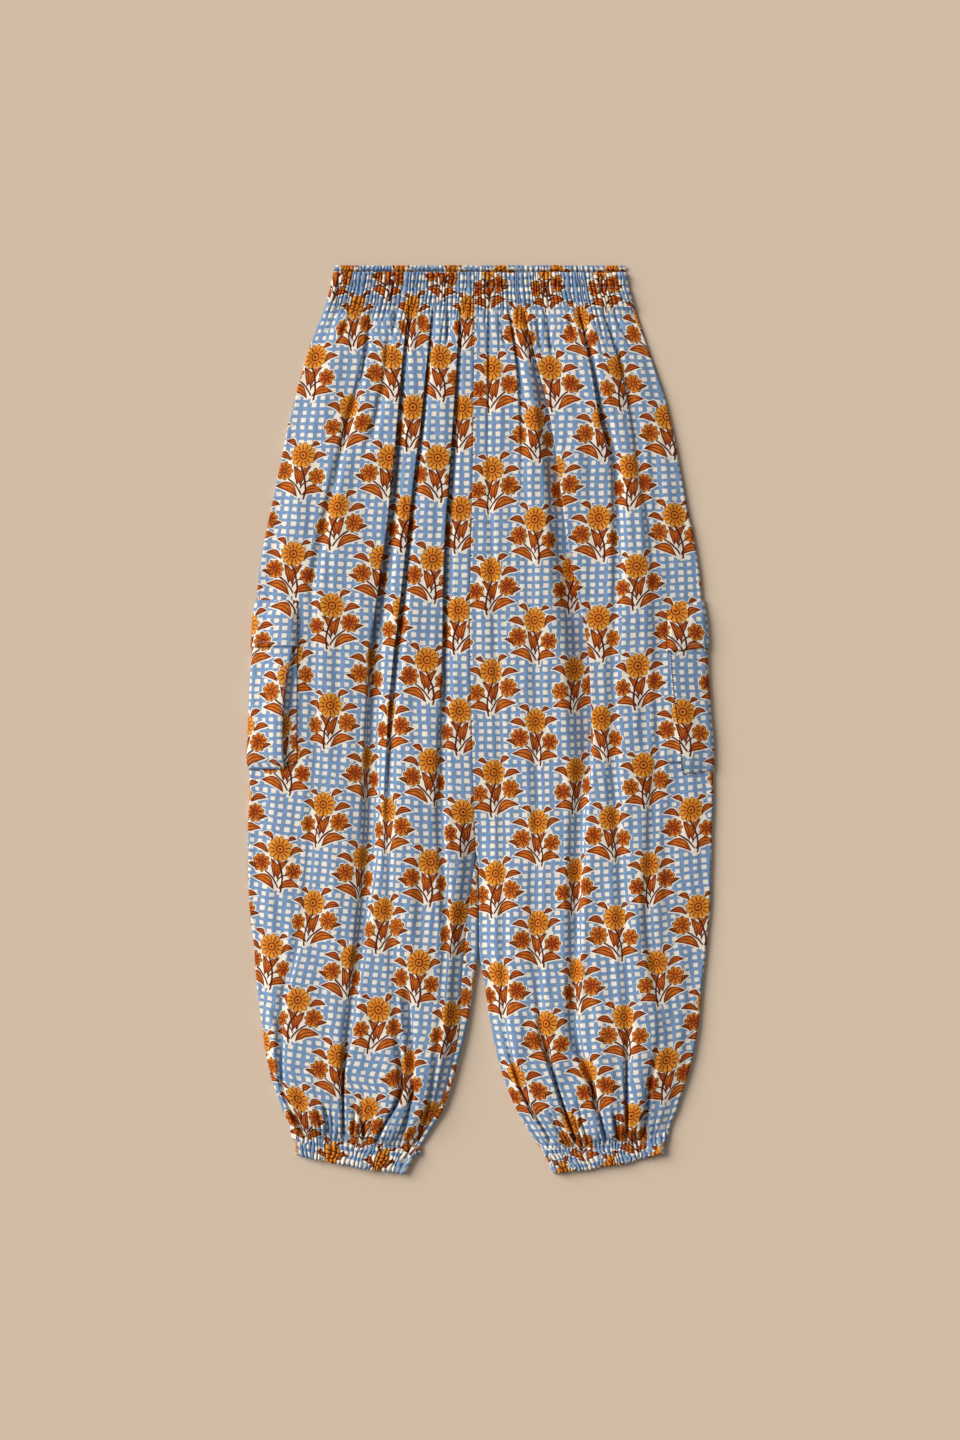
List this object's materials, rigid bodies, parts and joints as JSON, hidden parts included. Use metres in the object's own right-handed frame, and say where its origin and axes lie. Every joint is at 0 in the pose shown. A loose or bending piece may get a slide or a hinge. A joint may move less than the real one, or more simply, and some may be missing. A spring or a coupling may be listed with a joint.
{
  "type": "cuffed wide-leg trousers, laid flat",
  "caption": "Wide-leg trousers laid flat, with a gathered elastic waist, pleated balloon legs, elastic cuffs and bellows side pockets with flaps.",
  "frame": {"origin": "middle of the trousers' outline, on the surface that they lie on", "axes": "+Y up the garment towards the waist, +Z out of the surface through the front, +X to the right as seen from the front"},
  "size_m": [0.5169, 0.9979, 0.0184],
  "materials": {
    "printed_cotton": "matte printed cotton",
    "gathered_casing": "matte printed cotton turned over elastic"
  },
  "bodies": {
    "root": {"front_leg_left": "printed_cotton", "front_leg_right": "printed_cotton", "back_leg_left": "printed_cotton", "back_leg_right": "printed_cotton", "waistband_front": "gathered_casing", "waistband_back": "gathered_casing", "cuff_left": "gathered_casing", "cuff_right": "gathered_casing", "pocket_face_left": "printed_cotton", "pocket_face_right": "printed_cotton", "pocket_gusset_left": "printed_cotton", "pocket_gusset_right": "printed_cotton", "pocket_flap_left": "printed_cotton", "pocket_flap_right": "printed_cotton"}
  },
  "joints": []
}
